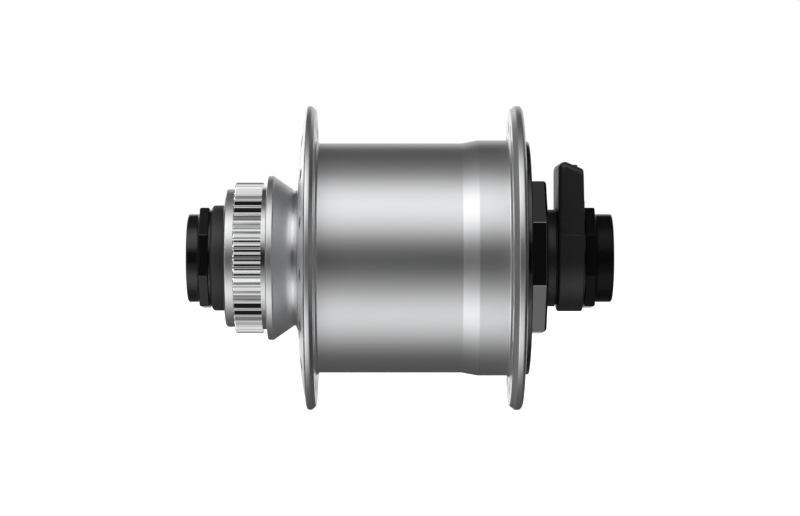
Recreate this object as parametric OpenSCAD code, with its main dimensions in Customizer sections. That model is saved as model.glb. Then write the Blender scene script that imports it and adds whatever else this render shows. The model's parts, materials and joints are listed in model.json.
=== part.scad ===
// Bicycle front hub dynamo for a 12 mm through axle: a claw-pole generator inside a spoked hub shell.
// Every module is drawn along the axle: z runs towards the connector side, y is up, x is forwards.
// The assembly is then turned so that the axle lies along Y, with the rotor side at +Y and +Z up.

/* [Axle] */
// Width over the two end faces, which stand between the fork ends
over_locknut = 100; // [92:1:116]
// Diameter of the bore for the through axle
axle_bore_d = 12.1; // [10.1:0.05:13.1]
// Wall of the hollow axle under the nuts and cones
axle_wall = 2.45; // [2.2:0.05:3.2]
// Height of the shoulder that the cones stop against
axle_shoulder = 0.8; // [0.6:0.05:1.2]
// Radial clearance between pieces that are fixed to each other
fit = 0.02; // [0.01:0.01:0.03]
// Radial clearance where one piece runs past another
run_gap = 0.06; // [0.04:0.01:0.09]

/* [End caps and nuts] */
// Wall of each end cap round the axle
cap_wall = 1.9; // [1.5:0.1:2.4]
// Length of the rotor side end cap
left_cap_len = 2.9; // [2.4:0.1:4.5]
// Length of the connector side end cap
right_cap_len = 4.2; // [3.2:0.1:5.5]
// Thickness of each cap's lip over the end of the axle
cap_lip = 1.5; // [1:0.1:2]
// Radial rise of the small cone where a cap meets its nut
cap_flare = 0.65; // [0.4:0.05:0.8]
// Chamfer on the end of each cap
cap_chamfer = 0.3; // [0.2:0.05:0.8]
// Least wall of the eight-sided locknuts
nut_wall = 3.1; // [2.4:0.1:3.4]
// Thickness of the rotor side locknut
left_nut_t = 2.3; // [1.8:0.1:3]
// Thickness of the connector side locknut
right_nut_t = 2.5; // [1.8:0.1:3]
// Thickness of the rotor side washer
left_washer_t = 0.5; // [0.3:0.05:0.8]
// Thickness of the connector side washer
right_washer_t = 0.3; // [0.2:0.05:0.5]
// Turn of every eight-sided piece about the axle, in degrees
octagon_turn = 19.4; // [0:0.1:45]

/* [Rotor side boss] */
// Wall of the dark dust cover in the mouth of the boss
left_cover_wall = 3.95; // [3.6:0.05:4.1]
// Length of the dust cover that stands out of the boss
left_cover_show = 3.3; // [2:0.1:5]
// Depth of the lockring thread round the dust cover
lockring_depth = 4.8; // [4:0.1:6]
// Step from the bearing seat out to the lockring thread
lockring_step = 0.2; // [0.1:0.05:0.4]
// Wall of the boss outside the bearing seat
boss_wall = 1.5; // [1.2:0.1:2.5]
// Length of the plain collar at the end of the boss
collar_len = 2.25; // [1.5:0.05:3.5]
// Length of the rotor splines
spline_len = 6.55; // [5:0.05:8]
// Number of rotor splines
spline_teeth = 48; // [36:1:56]
// Height of the spline roots above the collar
spline_root_step = 0.3; // [0.1:0.05:0.5]
// Height of a spline from root to tip
spline_h = 1.25; // [0.8:0.05:1.8]
// Length of the run-out between the splines and the stop
runout_len = 0.8; // [0.5:0.05:1.5]
// Height of the run-out above the collar
runout_step = 0.6; // [0.4:0.05:0.9]
// Height of the stop flange above the collar
stop_h = 3.1; // [2.4:0.1:4]
// Length of the stop flange's rim
stop_len = 2; // [1:0.1:3]
// Length of the cone from the stop flange down to the neck
stop_cone_len = 4.2; // [2.5:0.1:5]
// Length of the neck between the cone and the flange
neck_len = 1.5; // [1.3:0.1:3]

/* [Flanges and barrel] */
// Radius of both spoke flanges
flange_r = 35.9; // [33:0.1:40]
// Thickness of the rotor side flange at its root
left_flange_t = 3.95; // [3.4:0.05:5]
// Thickness of the rotor side flange at its rim
left_rim_t = 2.25; // [2.1:0.05:3]
// Thickness of the connector side flange at its rim
right_rim_t = 3.05; // [2.6:0.05:3.8]
// Rise of the connector side flange from its rim to the cover
right_dish = 0.5; // [0.2:0.05:1]
// Chamfer on the inner edge of each flange
rim_chamfer = 1; // [0.5:0.05:1.2]
// Number of spoke holes in each flange
spoke_holes = 16; // [14:1:18]
// Diameter of a spoke hole
spoke_hole_d = 2.6; // [2.2:0.05:3]
// Distance of the spoke holes in from the flange's edge
hole_inset = 4.9; // [3.5:0.1:5.5]
// Outer radius of the barrel
barrel_r = 27.1; // [26:0.1:29]
// Wall of the barrel
barrel_wall = 1.5; // [1.2:0.1:2.2]
// Height of the wider band at the connector side
band_h = 0.7; // [0.3:0.05:1]
// Length of the wider band
band_len = 7.5; // [5:0.1:10]
// Length of the cone that leads up to the band
band_cone_len = 3.8; // [2:0.1:6]
// Height of the seam ring where the barrel meets the rotor side flange
seam_h = 0.5; // [0.3:0.05:0.8]
// Length of the rotor side spigot inside the barrel
left_spigot_len = 5.75; // [4:0.05:8]
// Wall of both spigots inside the barrel
spigot_wall = 2.1; // [1.8:0.1:3]

/* [Connector side cover] */
// Length of the cover's spigot inside the barrel
right_spigot_len = 8.5; // [7.5:0.1:10]
// Overhang of the cover's disc beyond the spigot
disc_rim = 2; // [1.5:0.05:2.6]
// Thickness of the disc outside the flange
disc_t = 1.4; // [1:0.05:2]
// Thickness of the cover's wall inside the barrel
cover_wall = 2.8; // [2:0.1:3.4]
// Least wall of the eight-sided plate outside the bearing seat
plate_wall = 2.9; // [2.3:0.1:4]
// Thickness of the eight-sided plate
plate_t = 3.6; // [3:0.1:4.6]
// Length of the dark neck that stands out of the plate
neck_show = 2.2; // [1.5:0.1:3]
// Wall of the dark neck, which is the connector side dust cover
right_cover_wall = 2.96; // [2.8:0.02:3.4]

/* [Bearings] */
// Diameter of a bearing ball
ball_d = 3.97; // [3.5:0.01:4.4]
// Number of balls in each bearing
ball_count = 15; // [11:1:15]
// Wall of the cone under the balls
cone_wall = 1.1; // [0.9:0.05:1.5]
// Wall of the cup outside the balls
cup_wall = 1.2; // [0.9:0.05:1.6]
// Thickness of the lip that a cup is pressed against
lip_t = 1.5; // [1:0.1:2]
// Thickness of the rotor side seal
left_seal_t = 2; // [1.5:0.1:3]
// Thickness of the connector side seal
right_seal_t = 2.2; // [1.6:0.1:2.6]
// Wall of the ball cages
cage_wall = 0.6; // [0.4:0.05:0.7]

/* [Generator] */
// Number of pole pairs
pole_pairs = 14; // [10:1:16]
// Thickness of the ring that closes the magnets' flux
flux_ring_t = 2; // [1.5:0.1:2.6]
// Thickness of the magnets
magnet_t = 2.2; // [1.6:0.1:2.8]
// Air gap between the magnets and the claws
air_gap = 0.38; // [0.3:0.02:0.6]
// Distance of the magnets in from the ends of the flux ring
magnet_inset = 1.4; // [0.8:0.1:2.5]
// Thickness of the claws
claw_t = 2.3; // [1.8:0.1:3]
// Thickness of the yoke plates that carry the claws
plate_yoke_t = 2.5; // [2.2:0.1:3.2]
// Wall of the iron core inside the coil
core_wall = 3.3; // [2.6:0.1:4]
// Wall of the coil former
former_wall = 1; // [0.7:0.1:1.4]
// Thickness of the coil former's flanges
former_flange_t = 1.2; // [0.9:0.1:1.8]
// Thickness of the nuts that clamp the yokes
stator_nut_t = 3.5; // [2.6:0.1:4]
// Diameter of the coil lead
lead_d = 1.4; // [1:0.1:1.4]

/* [Connector] */
// Width of the connector along the axle
connector_w = 6.1; // [5.6:0.1:7.5]
// Wall of the connector's ring round the axle
connector_wall = 4.1; // [3.8:0.1:4.6]
// Thickness of the gasket behind the connector
gasket_t = 0.4; // [0.3:0.05:0.7]
// Height of the connector's head above the axle's centre
head_h = 22.4; // [21.5:0.1:25]
// Distance of the head's sides in from the front and back of the connector's ring
head_inset = 0.1; // [0.05:0.05:1]
// Thickness of the head's back plate, which the cap slides past
back_t = 1.7; // [1.4:0.1:2]
// Height of the cap's lower edge above the axle's centre
cap_edge_h = 5.4; // [5:0.1:6.5]
// Clearance all round the pull-off cap
cap_gap = 0.1; // [0.06:0.01:0.15]
// Diameter of the two wire inlets in the cap
inlet_d = 2; // [1.6:0.1:2.2]

/* [Hidden] */

$fn = 96;
sides = 8;
half_side = 180 / sides;
hole_fn = 32;
wire_fn = 24;
round_steps = 4;
face_steps = 6;
over = 1;
overlap = 0.3;
nut_chamfer = 0.4;
plate_chamfer = 0.5;
edge_chamfer = 0.4;
small_chamfer = 0.3;
fine_chamfer = 0.2;
cover_chamfer = 0.5;
left_washer_inset = 0.2;
right_washer_inset = 0.6;
left_hole_turn = 7.3;
right_hole_turn = left_hole_turn + 180 / spoke_holes;

// Small shapes of the boss, the flanges and the barrel
spline_root_share = 0.3;
spline_tip_share = 0.2;
face_power = 2.3;
neck_step = 0.4;
neck_flare = 1.9;
flare_foot = 0.4;
groove_pitch = 0.25;
groove_ridge = 0.15;
cone_foot = 0.3;
web_step = 0.75;
rim_land = 0.05;
seam_land = 0.25;
band_fillet = 0.45;
rim_round_r = 0.7;
rim_slope = 1.3;
disc_gap = 0.3;
disc_round = 0.5;
o_ring_r = 0.58;
o_ring_inset = 1.6;

// Radii that follow from the axle outwards
bore_r = axle_bore_d / 2;
axle_r = bore_r + axle_wall;
shoulder_r = axle_r + axle_shoulder;
cap_r = axle_r + cap_wall;
nut_flat = axle_r + nut_wall;
ball_r = ball_d / 2;
pitch_r = axle_r + cone_wall + ball_r;
race_r = ball_r + run_gap;
cup_r = pitch_r + ball_r + cup_wall;
land_step = 0.4;
lip_r = pitch_r + land_step * 2;
left_cover_r = axle_r + left_cover_wall;
right_cover_r = axle_r + right_cover_wall;
lockring_r = cup_r + lockring_step;
collar_r = cup_r + boss_wall;
root_r = collar_r + spline_root_step;
tip_r = root_r + spline_h;
runout_r = collar_r + runout_step;
stop_r = collar_r + stop_h;
neck_r = collar_r - neck_step;
plate_flat = cup_r + plate_wall;
nut_corner = nut_flat / cos(half_side);
connector_r = axle_r + connector_wall;
head_w = 2 * (connector_r - head_inset);

// Radii that follow from the barrel inwards
shell_bore = barrel_r - barrel_wall;
band_r = barrel_r + band_h;
spigot_r = shell_bore - fit;
spigot_in = spigot_r - spigot_wall;
disc_r = spigot_r + disc_rim;
// The generator's thicknesses hold for full_room, and follow the room from the shoulder to the barrel
full_room = 16.28;
room_share = (spigot_r - shoulder_r) / full_room;
flux_in = spigot_r - flux_ring_t * room_share;
magnet_out = flux_in - fit;
magnet_in = magnet_out - magnet_t * room_share;
claw_r = magnet_in - air_gap;
claw_in = claw_r - claw_t * room_share;
core_r = shoulder_r + core_wall * room_share;
former_gap = 0.3;
former_r = claw_in - former_gap;
coil_inset = 0.4;
coil_r = former_r - coil_inset;
coil_in = core_r + fit + former_wall;
hole_r = flange_r - hole_inset;

// Places along the axle on the connector side, from the end face inwards
half_len = over_locknut / 2;
zr_nut_out = half_len - right_cap_len;
zr_nut_in = zr_nut_out - right_nut_t;
zr_conn_out = zr_nut_in - right_washer_t;
zr_conn_in = zr_conn_out - connector_w;
zr_gasket = zr_conn_in - gasket_t;
zr_plate = zr_gasket - neck_show;
zr_disc = zr_plate - plate_t;
zr_seat = zr_disc - disc_t;
zr_rim = zr_seat - right_dish;
zr_face = zr_rim - right_rim_t;

// Places along the axle on the rotor side, as distances from the middle
zl_nut_out = half_len - left_cap_len;
zl_nut_in = zl_nut_out - left_nut_t;
zl_cover = zl_nut_in - left_washer_t;
zl_boss = zl_cover - left_cover_show;
zl_spline_out = zl_boss - collar_len;
zl_spline_in = zl_spline_out - spline_len;
zl_stop_out = zl_spline_in - runout_len;
zl_stop_in = zl_stop_out - stop_len;
zl_neck = zl_stop_in - stop_cone_len;
zl_root = zl_neck - neck_len;
zl_face = zl_root - left_flange_t;

// Bearings: distances from the balls' plane, outboard and inboard
race_out = 1.2;
race_in = 0.6;
cone_inset = 0.2;
cage_over = 0.75;
cup_out = ball_r + race_out;
cup_in = ball_r + race_in;
cone_out = cup_out;
cone_in = ball_r - cone_inset;
cage_half = ball_r + cage_over;
seal_inset = 0.2;
zl_ball = zl_boss - lockring_depth - left_seal_t - cup_out;
zr_ball = zr_plate - seal_inset - right_seal_t - cup_out;

// Generator along the axle
flux_left = -zl_face + left_spigot_len;
flux_right = zr_seat - right_spigot_len;
gen_left = flux_left + magnet_inset;
gen_right = flux_right - magnet_inset;
core_left = gen_left + plate_yoke_t;
core_right = gen_right - plate_yoke_t;
claw_tip_gap = 0.6;
claw_root_share = 0.36;
claw_tip_share = 0.22;
stator_nut_step = 0.6;
magnet_slot = 0.5;
pole_pitch = 180 / pole_pairs;
lead_gap = 0.1;
lead_cover = 0.15;
lead_r = lead_d / 2;
lead_floor = axle_r - lead_d - lead_cover;
lead_y = lead_floor + lead_r + lead_gap;
lead_slot = lead_d + 2 * lead_cover;
lead_z = (core_right + gen_right) / 2;
lead_top = coil_in + (coil_r - coil_in) / 2;

// Connector: the head's core and tongue
cap_in_z = zr_conn_in + back_t;
cap_side_wall = 1.8;
core_step = 0.2;
core_half = head_w / 2 - cap_side_wall;
core_top = connector_r + core_step;
tongue_inset = 2.2;
tongue_drop = 3.2;
tongue_step = 1.7;
tongue_half = core_half - tongue_inset;
tongue_top = head_h - tongue_drop;
tongue_z = cap_in_z + tongue_step;
tongue_t = 1.2;
blade_t = 0.4;
blade_w = 2;
blade_inset = 0.6;
blade_x = tongue_half / 2;
lead_step = 0.9;
conn_lead_z = cap_in_z + lead_step;
lead_end = core_top - over;
gasket_inset = 0.4;
head_round = 3;

// Connector cap: its outline, its rib and its hollow
slope_drop = 1.7;
cap_round = 0.8;
cap_slack = 0.05;
cap_bulge = 0.1;
cap_bulge_rise = 0.25;
cap_lean = 0.35;
rib_w = 2.5;
rib_h = 2.35;
rib_t = 1.6;
rib_drop = 0.1;
rib_inset = 2.2;
tongue_gap = 0.4;
inlet_step = 2;
inlet_pitch = 3;

// Points of an arc, from angle a to angle b
function arc(cx, cy, r, a, b, n = round_steps) =
    [for (i = [0 : n]) [cx + r * cos(a + (b - a) * i / n), cy + r * sin(a + (b - a) * i / n)]];

// A point in polar form
function polar(r, a) = [r * cos(a), r * sin(a)];

// A solid of revolution about the axle, from [radius, place] points
module turned(points) {
    rotate_extrude() polygon(points);
}

// A plain ring from z0 to z1
module ring(r_out, r_in, z0, z1) {
    turned([[r_in, z0], [r_out, z0], [r_out, z1], [r_in, z1]]);
}

// A ring from z0 to z1 with a chamfer c on its outer edge at z1
module chamfered_ring(r_out, r_in, z0, z1, c) {
    turned([[r_in, z0], [r_out, z0], [r_out, z1 - c], [r_out - c, z1], [r_in, z1]]);
}

// An eight-sided prism of half width flat, with a chamfer c along each side at the end z1
module octagon(flat, z0, z1, c) {
    cut = 2 * flat;
    difference() {
        translate([0, 0, z0]) rotate([0, 0, octagon_turn])
            cylinder(r = flat / cos(half_side), h = z1 - z0, $fn = sides);
        for (i = [0 : sides - 1])
            rotate([0, 0, octagon_turn + half_side * (2 * i + 1)]) translate([flat, 0, z1 - c])
                rotate([0, 45, 0]) translate([-cut / 2, -cut / 2, 0]) cube(cut);
    }
}

// Puts what is drawn for the connector side on the rotor side
module rotor_side() {
    mirror([0, 0, 1]) children();
}

// Turns the axle from z into Y
module placed() {
    rotate([90, 0, 0]) children();
}

module axle() {
    color("silver") placed() difference() {
        turned([
            [bore_r, -half_len + cap_lip], [axle_r, -half_len + cap_lip],
            [axle_r, -zl_ball + cone_in], [shoulder_r, -zl_ball + cone_in],
            [shoulder_r, zr_ball - cone_in], [axle_r, zr_ball - cone_in],
            [axle_r, half_len - cap_lip], [bore_r, half_len - cap_lip]
        ]);
        translate([-lead_slot / 2, lead_floor, lead_z - lead_slot / 2])
            cube([lead_slot, axle_wall * 2, conn_lead_z - lead_z + lead_slot]);
    }
}

// An end cap whose cone meets the nut at z_nut
module end_cap(z_nut) {
    color("#141414") turned([
        [axle_r + fit, z_nut], [cap_r + cap_flare, z_nut], [cap_r, z_nut + cap_flare],
        [cap_r, half_len - cap_chamfer], [cap_r - cap_chamfer, half_len],
        [bore_r, half_len], [bore_r, half_len - cap_lip], [axle_r + fit, half_len - cap_lip]
    ]);
}

module left_end_cap() {
    placed() rotor_side() end_cap(zl_nut_out);
}

module right_end_cap() {
    placed() end_cap(zr_nut_out);
}

// An eight-sided locknut from z0 to z1
module locknut(z0, z1) {
    color("#101010") difference() {
        octagon(nut_flat, z0, z1, nut_chamfer);
        translate([0, 0, z0 - over]) cylinder(r = axle_r + fit, h = z1 - z0 + 2 * over);
    }
}

// The mirror keeps x and y, so this nut's corners stand where the other nut's do
module left_locknut() {
    placed() rotor_side() locknut(zl_nut_in, zl_nut_out);
}

module right_locknut() {
    placed() locknut(zr_nut_in, zr_nut_out);
}

module left_washer() {
    color("#181818") placed() rotor_side()
        ring(nut_flat - left_washer_inset, axle_r + fit, zl_cover, zl_nut_in);
}

module right_washer() {
    color("#303030") placed()
        ring(nut_flat - right_washer_inset, axle_r + fit, zr_conn_out, zr_nut_in);
}

// A cone whose race is a groove round the balls' plane z
module cone(z) {
    color("#8c8c90") translate([0, 0, z]) rotate_extrude() difference() {
        polygon([
            [axle_r + fit, -cone_in], [pitch_r - ball_r, -cone_in], [pitch_r - ball_r, 0],
            [pitch_r - land_step, 0], [pitch_r - land_step, cone_out], [axle_r + fit, cone_out]
        ]);
        translate([pitch_r, 0]) circle(r = race_r);
    }
}

module left_cone() {
    placed() rotor_side() cone(zl_ball);
}

module right_cone() {
    placed() cone(zr_ball);
}

// A pressed cup whose race faces the cone
module cup(z) {
    color("#8c8c90") translate([0, 0, z]) rotate_extrude() difference() {
        polygon([
            [cup_r - fit, -cup_in], [cup_r - fit, cup_out], [pitch_r + ball_r, cup_out],
            [pitch_r + ball_r, 0], [pitch_r + land_step, 0], [pitch_r + land_step, -cup_in]
        ]);
        translate([pitch_r, 0]) circle(r = race_r);
    }
}

module left_cup() {
    placed() rotor_side() cup(zl_ball);
}

module right_cup() {
    placed() cup(zr_ball);
}

module balls(z) {
    color("#d0d0d4") for (i = [0 : ball_count - 1])
        rotate([0, 0, 360 * i / ball_count]) translate([pitch_r, 0, z]) sphere(r = ball_r);
}

// A thin band through the balls' centres, with a round pocket for each ball
module ball_cage(z) {
    color("#b08d4a") difference() {
        ring(pitch_r + cage_wall / 2, pitch_r - cage_wall / 2, z - cage_half, z + cage_half);
        for (i = [0 : ball_count - 1])
            rotate([0, 0, 360 * i / ball_count]) translate([pitch_r - over, 0, z])
                rotate([0, 90, 0]) cylinder(r = race_r, h = 2 * over, $fn = hole_fn);
    }
}

module left_balls() {
    placed() rotor_side() balls(zl_ball);
}

module left_ball_cage() {
    placed() rotor_side() ball_cage(zl_ball);
}

module right_balls() {
    placed() balls(zr_ball);
}

module right_ball_cage() {
    placed() ball_cage(zr_ball);
}

module left_dust_cover() {
    color("#262626") placed() rotor_side()
        chamfered_ring(left_cover_r, axle_r + fit, zl_ball + cone_out, zl_cover, cover_chamfer);
}

module right_dust_cover() {
    color("#242424") placed()
        ring(right_cover_r, axle_r + fit, zr_ball + cone_out, zr_gasket);
}

module left_seal() {
    color("#1c1c1c") placed() rotor_side()
        ring(cup_r - fit, left_cover_r + run_gap, zl_ball + cup_out, zl_ball + cup_out + left_seal_t);
}

module right_seal() {
    color("#1c1c1c") placed()
        ring(cup_r - fit, right_cover_r + run_gap, zr_ball + cup_out, zr_plate - seal_inset);
}

// Outline of the splines: each tooth is a trapezium on the root circle
module spline_outline() {
    pitch = 360 / spline_teeth;
    root_half = spline_root_share * pitch;
    tip_half = spline_tip_share * pitch;
    polygon([for (i = [0 : spline_teeth - 1]) let (a = (i + 0.5) * pitch) each [
        polar(root_r, a - root_half), polar(tip_r, a - tip_half),
        polar(tip_r, a + tip_half), polar(root_r, a + root_half)
    ]]);
}

// Outer face of the rotor side flange, from the rim in to the root, thickening ever less
function flange_face(r_rim, r_root, n = face_steps) =
    [for (i = [1 : n - 1]) let (s = 1 - i / n)
        [r_root + (r_rim - r_root) * s,
         zl_face + left_rim_t + (left_flange_t - left_rim_t) * (1 - pow(s, face_power))]];

// The neck: a flare from the flange, two fine grooves with a ridge between them, and the cone's foot
function neck_points() = [
    [neck_r + neck_flare, zl_root], [neck_r + 2 * flare_foot, zl_root + flare_foot],
    [neck_r, zl_neck - cone_foot - 2 * groove_pitch],
    [neck_r + groove_ridge, zl_neck - cone_foot - groove_pitch],
    [neck_r, zl_neck - cone_foot], [neck_r + cone_foot, zl_neck]
];

module spoke_hole_ring(z0, z1, turn) {
    for (i = [0 : spoke_holes - 1])
        rotate([0, 0, 360 * i / spoke_holes + turn]) translate([hole_r, 0, z0])
            cylinder(r = spoke_hole_d / 2, h = z1 - z0, $fn = hole_fn);
}

module left_hub_end() {
    rim_round = left_rim_t - rim_chamfer - rim_land;
    color("#b9babd") placed() rotor_side() difference() {
        union() {
            turned(concat(
                [[lockring_r + edge_chamfer, zl_boss], [lockring_r, zl_boss - edge_chamfer],
                 [lockring_r, zl_boss - lockring_depth], [cup_r, zl_boss - lockring_depth],
                 [cup_r, zl_ball - cup_in], [lip_r, zl_ball - cup_in],
                 [lip_r, zl_face + web_step], [spigot_in, zl_face + web_step],
                 [spigot_in, -flux_left], [spigot_r, -flux_left], [spigot_r, zl_face],
                 [flange_r - rim_chamfer, zl_face], [flange_r, zl_face + rim_chamfer]],
                arc(flange_r - rim_round, zl_face + left_rim_t - rim_round, rim_round, 0, 90),
                flange_face(flange_r - rim_round, neck_r + neck_flare),
                neck_points(),
                [[stop_r - small_chamfer, zl_stop_in], [stop_r, zl_stop_in + small_chamfer],
                 [stop_r, zl_stop_out - fine_chamfer], [stop_r - fine_chamfer, zl_stop_out],
                 [runout_r, zl_stop_out], [runout_r, zl_spline_in], [collar_r, zl_spline_in],
                 [collar_r, zl_boss - edge_chamfer], [collar_r - edge_chamfer, zl_boss]]
            ));
            translate([0, 0, zl_spline_in - overlap]) linear_extrude(spline_len + overlap)
                difference() {
                    spline_outline();
                    circle(r = collar_r - overlap);
                }
        }
        spoke_hole_ring(zl_face - over, zl_root + over, left_hole_turn);
    }
}

module hub_barrel() {
    color("#b4b5b8") placed() difference() {
        turned(concat(
            [[shell_bore, -zl_face], [barrel_r + seam_h, -zl_face],
             [barrel_r + seam_h, seam_land - zl_face], [barrel_r, seam_land + seam_h - zl_face],
             [barrel_r, zr_face - band_len - band_cone_len], [band_r, zr_face - band_len]],
            arc(band_r + band_fillet, zr_face - band_fillet, band_fillet, 180, 90),
            [[flange_r - rim_chamfer, zr_face], [flange_r, zr_face + rim_chamfer * rim_slope]],
            arc(flange_r - rim_round_r, zr_rim - rim_round_r, rim_round_r, 0, 80),
            [[disc_r + disc_gap, zr_seat], [shell_bore, zr_seat]]
        ));
        spoke_hole_ring(zr_face - over, zr_seat + over, right_hole_turn);
    }
}

// The cover's spigot carries the O-ring in a groove, and its plate holds the bearing
module right_cover() {
    inner_wall = zr_ball - cup_in - lip_t;
    groove_z = zr_seat - o_ring_inset;
    groove_half = o_ring_r + run_gap;
    groove_r = spigot_r - 2 * (o_ring_r + fit);
    color("#2a2b2d") placed() difference() {
        union() {
            turned(concat(
                [[lip_r, inner_wall], [plate_flat, inner_wall],
                 [plate_flat, zr_seat - cover_wall], [spigot_in, zr_seat - cover_wall],
                 [spigot_in, flux_right], [spigot_r, flux_right],
                 [spigot_r, groove_z - groove_half], [groove_r, groove_z - groove_half],
                 [groove_r, groove_z + groove_half], [spigot_r, groove_z + groove_half],
                 [spigot_r, zr_seat], [disc_r, zr_seat]],
                arc(disc_r - disc_round, zr_disc - disc_round, disc_round, 0, 90),
                [[lip_r, zr_disc]]
            ));
            octagon(plate_flat, zr_disc - overlap, zr_plate, plate_chamfer);
        }
        translate([0, 0, zr_ball - cup_in]) cylinder(r = cup_r, h = zr_plate);
    }
}

module cover_o_ring() {
    color("#101010") placed() rotate_extrude()
        translate([spigot_r - o_ring_r, zr_seat - o_ring_inset]) circle(r = o_ring_r, $fn = hole_fn);
}

module flux_ring() {
    color("#7d7f82") placed() ring(spigot_r, flux_in, flux_left, flux_right);
}

module magnets() {
    count = 2 * pole_pairs;
    arc_turn = 360 / count - asin(magnet_slot / magnet_in);
    color("#4a4d52") placed() for (i = [0 : count - 1])
        rotate([0, 0, 360 * i / count]) rotate_extrude(angle = arc_turn)
            polygon([[magnet_in, gen_left], [magnet_out, gen_left],
                     [magnet_out, gen_right], [magnet_in, gen_right]]);
}

// One yoke: a plate from z0 outwards to z1 and claws that taper towards z_tip, parted by even gaps
module claw_yoke(z0, z1, z_tip, turn) {
    half_pitch = claw_r * sin(pole_pitch);
    root_gap = half_pitch * (1 - claw_root_share);
    tip_gap = half_pitch * (1 - claw_tip_share);
    outside = z1 + sign(z1 - z0) * over;
    beyond = z_tip - sign(z1 - z0) * over;
    difference() {
        turned([[shoulder_r + fit, z0], [shoulder_r + fit, z1], [claw_r, z1],
                [claw_r, z_tip], [claw_in, z_tip], [claw_in, z0]]);
        for (i = [0 : pole_pairs - 1])
            rotate([0, 0, (2 * i + 1) * pole_pitch + turn]) translate([claw_in - over, 0, 0])
                rotate([90, 0, 90]) linear_extrude(claw_t + 2 * over)
                    polygon([[-root_gap, outside], [-tip_gap, beyond],
                             [tip_gap, beyond], [root_gap, outside]]);
        children();
    }
}

module left_claw_yoke() {
    color("#5c5f63") placed()
        claw_yoke(core_left, gen_left, core_right - claw_tip_gap, 0);
}

module right_claw_yoke() {
    color("#5c5f63") placed()
        claw_yoke(core_right, gen_right, core_left + claw_tip_gap, pole_pitch)
            translate([-lead_slot / 2, 0, core_right - over])
                cube([lead_slot, lead_top + lead_slot / 2, plate_yoke_t + 2 * over]);
}

module stator_core() {
    color("#6a6d70") placed() ring(core_r, shoulder_r + fit, core_left, core_right);
}

module coil_former() {
    r_in = core_r + fit;
    color("#e8e4d8") placed() difference() {
        turned([
            [r_in, core_left], [former_r, core_left], [former_r, core_left + former_flange_t],
            [coil_in, core_left + former_flange_t], [coil_in, core_right - former_flange_t],
            [former_r, core_right - former_flange_t], [former_r, core_right], [r_in, core_right]
        ]);
        translate([0, lead_top, core_right - former_flange_t - over])
            cylinder(r = lead_r + lead_gap, h = former_flange_t + 2 * over, $fn = wire_fn);
    }
}

module coil() {
    color("#b5651d") placed()
        ring(coil_r, coil_in + fit, core_left + former_flange_t, core_right - former_flange_t);
}

module stator_nut(z0, z1) {
    color("#77797c") difference() {
        translate([0, 0, z0]) cylinder(r = core_r + stator_nut_step, h = z1 - z0, $fn = 6);
        translate([0, 0, z0 - over]) cylinder(r = shoulder_r + fit, h = z1 - z0 + 2 * over);
    }
}

module left_stator_nut() {
    placed() stator_nut(gen_left - stator_nut_t, gen_left);
}

module right_stator_nut() {
    placed() stator_nut(gen_right, gen_right + stator_nut_t);
}

// A straight run of lead from z0 to z1 at height y
module lead_along(y, z0, z1) {
    translate([0, y, z0]) cylinder(r = lead_r, h = z1 - z0, $fn = wire_fn);
}

// A straight run of lead at z, from height y0 up to y1
module lead_up(z, y0, y1) {
    translate([0, y1, z]) rotate([90, 0, 0]) cylinder(r = lead_r, h = y1 - y0, $fn = wire_fn);
}

// The lead runs out of the coil, down to the slot in the axle, along it and up into the connector
module coil_lead() {
    color("#b02a20") placed() {
        lead_along(lead_top, core_right - former_flange_t, lead_z);
        lead_up(lead_z, lead_y, lead_top);
        lead_along(lead_y, lead_z, conn_lead_z);
        lead_up(conn_lead_z, lead_y, lead_end);
        for (corner = [[lead_top, lead_z], [lead_y, lead_z], [lead_y, conn_lead_z]])
            translate([0, corner[0], corner[1]]) sphere(r = lead_r, $fn = wire_fn);
    }
}

module connector_gasket() {
    color("#0c0c0c") placed() ring(right_cover_r - gasket_inset, axle_r + fit, zr_gasket, zr_conn_in);
}

// Outline of the connector seen along the axle: a ring with a round-cornered head above it
module head_outline() {
    half = head_w / 2;
    circle(r = connector_r);
    polygon(concat(
        [[-half, 0], [half, 0]],
        arc(half - head_round, head_h - head_round, head_round, 0, 90),
        arc(head_round - half, head_h - head_round, head_round, 90, 180)
    ));
}

module connector_base() {
    reach = head_h + over;
    color("#202020") placed() difference() {
        translate([0, 0, zr_conn_in]) linear_extrude(connector_w) head_outline();
        difference() {
            translate([-reach, cap_edge_h, cap_in_z]) cube([2 * reach, reach, connector_w]);
            translate([-core_half, 0, zr_conn_in]) cube([2 * core_half, core_top, 2 * connector_w]);
            translate([-tongue_half, 0, tongue_z]) cube([2 * tongue_half, tongue_top, tongue_t]);
        }
        translate([0, 0, zr_conn_in - over]) cylinder(r = axle_r + fit, h = connector_w + 2 * over);
        translate([0, lead_end + lead_gap, conn_lead_z]) rotate([90, 0, 0])
            cylinder(r = lead_r + lead_gap, h = core_top, $fn = wire_fn);
    }
}

module contact_blades() {
    color("#c9a24a") placed() for (side = [-1, 1])
        translate([side * blade_x - blade_w / 2, core_top, tongue_z + tongue_t])
            cube([blade_w, tongue_top - core_top - blade_inset, blade_t]);
}

// Side view of the cap: a rounded lower corner, a step past the nut and a sloping top
function cap_side(z0, y0) = concat(
    arc(z0 + cap_round, y0 + cap_round, cap_round, 180, 270),
    [[zr_conn_out - cap_slack, y0], [zr_conn_out - cap_slack, nut_corner + cap_bulge],
     [zr_conn_out + cap_bulge, nut_corner + cap_bulge + cap_bulge_rise],
     [zr_conn_out - cap_lean, head_h - slope_drop - edge_chamfer],
     [zr_conn_out - cap_lean - small_chamfer, head_h - slope_drop],
     [z0, head_h]]
);

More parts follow.
